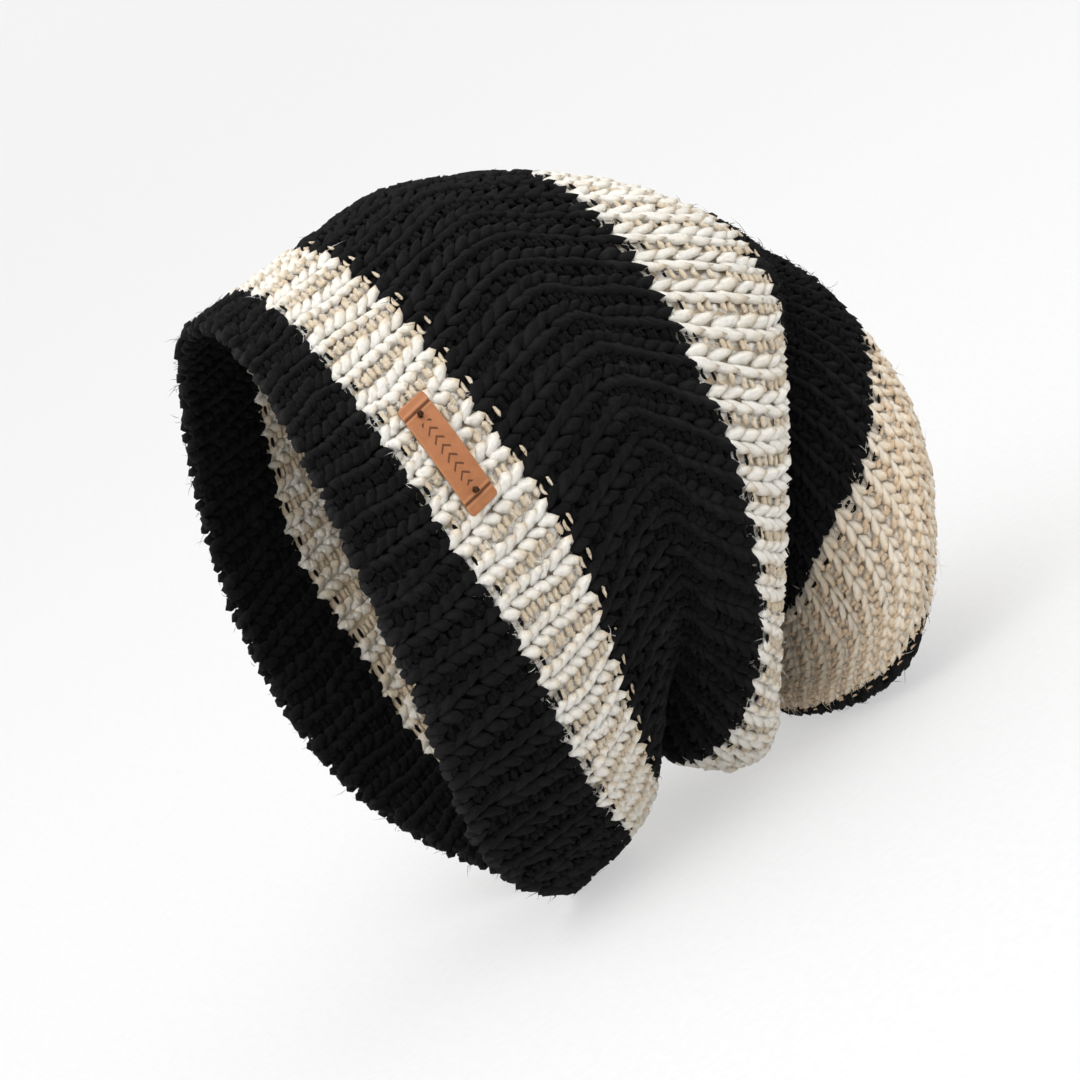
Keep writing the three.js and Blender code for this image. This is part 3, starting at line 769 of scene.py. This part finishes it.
def yarn_material(name, crest, middle, valley, fibre_glint, sheen, sheen_tint):
    """Spun yarn: fibre streaks along each strand, painted shade that darkens it from the crests into the
    valleys, painted shade in the gaps between fibres, and lighter specks painted as highlights on the fibres.
    """
    nodes = Nodes(name)
    yarn = nodes.attribute("yarn")
    look = nodes.add("ShaderNodeSeparateXYZ")
    nodes.link(nodes.attribute("look").outputs["Vector"], look.inputs[0])
    stretch = nodes.add("ShaderNodeMapping")
    stretch.inputs["Scale"].default_value = (0.45, 2.6, 2.6)
    nodes.link(yarn.outputs["Vector"], stretch.inputs["Vector"])
    streaks = nodes.noise(stretch.outputs["Vector"], 1.0, 3.0, 0.65)
    fuzz = nodes.noise(yarn.outputs["Vector"], 3.4, 2.0, 0.6)
    position = nodes.add("ShaderNodeTexCoord").outputs["Object"]
    patches = nodes.noise(position, 38.0, 2.0, 0.5)
    streaked = nodes.math("MULTIPLY", nodes.math("SUBTRACT", streaks, 0.5), 0.9)
    patched = nodes.math("MULTIPLY", nodes.math("SUBTRACT", patches, 0.5), 0.5)
    # Painted shade from the look attribute, varied with random streaks, patches and tone.
    shade = nodes.math("ADD", nodes.math("ADD", look.outputs["X"], streaked), patched)
    shade = nodes.math("ADD", shade, nodes.math("MULTIPLY", look.outputs["Y"], 0.07), clamp=True)
    colour = nodes.ramp(shade, ((0.0, crest), (0.5, middle), (1.0, valley)))
    # Lighter specks on the fuzz, painted as highlights on the fibres.
    spots = nodes.ramp(fuzz, ((0.58, (0, 0, 0)), (0.72, (1, 1, 1))))
    spot_share = nodes.math("MULTIPLY", spots, 0.35)
    colour = nodes.mix(spot_share, colour, fibre_glint)
    # Painted shade in the gaps between fibres, mixed towards the valley colour.
    loose = nodes.noise(yarn.outputs["Vector"], 1.9, 4.0, 0.75)
    gaps = nodes.ramp(loose, ((0.36, (1, 1, 1)), (0.5, (0, 0, 0))))
    colour = nodes.mix(nodes.math("MULTIPLY", gaps, 0.25), colour, valley)
    nodes.link(colour, nodes.shader.inputs["Base Color"])
    nodes.link(nodes.math("MULTIPLY_ADD", streaks, 0.2, 0.78), nodes.shader.inputs["Roughness"])
    height = nodes.math("SUBTRACT", nodes.math("ADD", streaks, fuzz), nodes.math("MULTIPLY", gaps, 0.5))
    nodes.link(nodes.bump(height, 0.7, 0.6 * MM), nodes.shader.inputs["Normal"])
    nodes.set(Sheen_Weight=sheen, Sheen_Roughness=0.55, Sheen_Tint=(*sheen_tint, 1), Specular_IOR_Level=0.1)
    return nodes.material


def leather_material():
    """Tan leather: painted shade in its creases, pits and marks, painted highlights on its bevelled edges and
    crease lips, with fine pores.
    """
    nodes = Nodes("leather")
    look = nodes.add("ShaderNodeSeparateXYZ")
    nodes.link(nodes.attribute("look").outputs["Vector"], look.inputs[0])
    place = nodes.attribute("yarn").outputs["Vector"]
    cloud = nodes.noise(place, 0.35, 3.0, 0.6)
    pores = nodes.noise(place, 5.5, 3.0, 0.7)
    face = nodes.ramp(cloud, ((0.3, (0.29, 0.108, 0.04)), (0.7, (0.36, 0.142, 0.056))))
    face = nodes.mix(nodes.math("MULTIPLY", pores, 0.25), face, (0.19, 0.06, 0.02))
    # Painted highlight on the bevelled edges and crease lips, then painted shade in the creases, pits and
    # marks.
    edge_highlit = nodes.mix(nodes.math("MULTIPLY", look.outputs["Y"], 0.85), face, (0.42, 0.19, 0.085))
    pressed = nodes.mix(look.outputs["X"], edge_highlit, (0.07, 0.024, 0.009))
    nodes.link(pressed, nodes.shader.inputs["Base Color"])
    nodes.link(nodes.math("ADD", nodes.math("MULTIPLY", pores, 0.3), 0.42), nodes.shader.inputs["Roughness"])
    nodes.link(nodes.bump(pores, 0.35, 0.15 * MM), nodes.shader.inputs["Normal"])
    nodes.set(Specular_IOR_Level=0.3)
    return nodes.material


# Each yarn's name, then its colours on the crests, between and in the valleys, where the darker colours are
# painted shade, of its painted highlights on the fibres, and its sheen's strength and tint.
YARNS = {
    "thread": (
        "label_thread",
        ((0.06, 0.026, 0.012), (0.04, 0.016, 0.007), (0.015, 0.006, 0.003), (0.1, 0.05, 0.025)),
        (0.05, (1, 0.8, 0.6)),
    ),
    "black": (
        "black_yarn",
        ((0.013, 0.0125, 0.013), (0.004, 0.0038, 0.0042), (0.0008, 0.0008, 0.001), (0.045, 0.044, 0.046)),
        (0.05, (0.4, 0.4, 0.42)),
    ),
    "cream": (
        "cream_yarn",
        ((0.96, 0.945, 0.9), (0.92, 0.88, 0.79), (0.7, 0.57, 0.4), (0.98, 0.975, 0.95)),
        (0.3, (1, 0.98, 0.94)),
    ),
    "warm_cream": (
        "warm_cream_yarn",
        ((0.93, 0.87, 0.77), (0.89, 0.78, 0.62), (0.76, 0.56, 0.36), (0.96, 0.92, 0.84)),
        (0.35, (1, 0.95, 0.88)),
    ),
}
MATERIALS = {"leather": leather_material()}
for yarn, (name, colours, gloss) in YARNS.items():
    MATERIALS[yarn] = yarn_material(name, *colours, *gloss)


def settle(piece, stripe):
    """Rides the piece on the hat body, or, past the crown's hinge, leaves it unattached with its placement
    applied to its mesh.
    """
    if stripe >= FIRST_BENDING:
        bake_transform(piece)
    else:
        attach(piece, "hat_body")


def make_stripes():
    start = 0.0
    for index, (node, yarn, length) in enumerate(STRIPES):
        face = Pile()
        add_legs(face, start, length)
        add_bumps(face, start, length)
        add_backing(face, start, length)
        if index == 0:
            add_edge(face)
        piece = face.to_piece(node + "_knit", MATERIALS[yarn])
        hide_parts(node)
        settle(piece, index)
        lining = Pile()
        add_legs(lining, start, length, inside=True)
        add_bumps(lining, start, length, inside=True)
        settle(lining.to_piece(node + "_inside", MATERIALS[yarn]), index)
        fibres = Pile()
        add_fibres(fibres, start, length, FIBRES)
        settle(fibres.to_piece(node + "_fibres", MATERIALS[yarn]), index)
        start += length


make_stripes()
make_label()
make_label_stitches()
make_yarn_ends()
make_gather()


# ------------------------------------------------------------------ stage
FLOOR_REACH = 30.0


def make_floor():
    mesh = bpy.data.meshes.new("floor")
    corners = [(-FLOOR_REACH, -FLOOR_REACH, 0), (FLOOR_REACH, -FLOOR_REACH, 0)]
    corners += [(FLOOR_REACH, FLOOR_REACH, 0), (-FLOOR_REACH, FLOOR_REACH, 0)]
    mesh.from_pydata(corners, [], [(0, 1, 2, 3)])
    nodes = Nodes("paper_floor")
    position = nodes.add("ShaderNodeTexCoord").outputs["Object"]
    grain = nodes.noise(position, 300.0)
    colour = nodes.ramp(grain, ((0.3, (0.26, 0.26, 0.26)), (0.7, (0.28, 0.28, 0.28))))
    nodes.link(colour, nodes.shader.inputs["Base Color"])
    nodes.set(Roughness=0.9, Specular_IOR_Level=0.1, Emission_Color=(1, 1, 1, 1), Emission_Strength=0.52)
    mesh.materials.append(nodes.material)
    floor = bpy.data.objects.new("floor", mesh)
    bpy.context.scene.collection.objects.link(floor)


def add_light(name, place, target, size, power):
    light = bpy.data.lights.new(name, "AREA")
    light.shape = "DISK"
    light.size = size
    light.energy = power
    lamp = bpy.data.objects.new(name, light)
    lamp.location = place
    lamp.rotation_mode = "QUATERNION"
    lamp.rotation_quaternion = (Vector(target) - Vector(place)).to_track_quat("-Z", "Y")
    bpy.context.scene.collection.objects.link(lamp)


def light_stage():
    world = bpy.data.worlds.new("studio")
    world.use_nodes = True
    background = world.node_tree.nodes["Background"]
    background.inputs["Color"].default_value = (1, 1, 1, 1)
    background.inputs["Strength"].default_value = 1.3
    bpy.context.scene.world = world
    add_light("key", (-0.45, -0.5, 1.6), (0, 0, 0.08), 1.6, 17)


# Camera, from the hat's middle: turned towards the opening, above it, and rolled.
CAMERA_YAW = math.radians(20.2)
CAMERA_HEIGHT = math.radians(11.6)
CAMERA_ROLL = math.radians(30.6)
CAMERA_DISTANCE = 1300 * MM
CAMERA_LENS = 139.3
AIM_POINT = Vector(RIM_BOTTOM) + Vector((60, 0, 105)) * MM
AIM_ASIDE = -3.7 * MM
AIM_BELOW = -12.8 * MM


def make_camera():
    level_look = Vector((math.sin(CAMERA_YAW), math.cos(CAMERA_YAW), 0))
    look = level_look * math.cos(CAMERA_HEIGHT) - Vector((0, 0, math.sin(CAMERA_HEIGHT)))
    level = Vector((math.cos(CAMERA_YAW), -math.sin(CAMERA_YAW), 0))
    upright = level.cross(look)
    right = level * math.cos(CAMERA_ROLL) - upright * math.sin(CAMERA_ROLL)
    up = level * math.sin(CAMERA_ROLL) + upright * math.cos(CAMERA_ROLL)
    place = AIM_POINT + right * AIM_ASIDE + up * AIM_BELOW - look * CAMERA_DISTANCE
    data = bpy.data.cameras.new("camera")
    data.lens = CAMERA_LENS
    data.clip_end = 100
    camera = bpy.data.objects.new("camera", data)
    camera.matrix_world = Matrix.Translation(place) @ Matrix((right, up, -look)).transposed().to_4x4()
    bpy.context.scene.collection.objects.link(camera)
    bpy.context.scene.camera = camera


make_floor()
light_stage()
make_camera()
bpy.context.scene.view_settings.view_transform = "Standard"
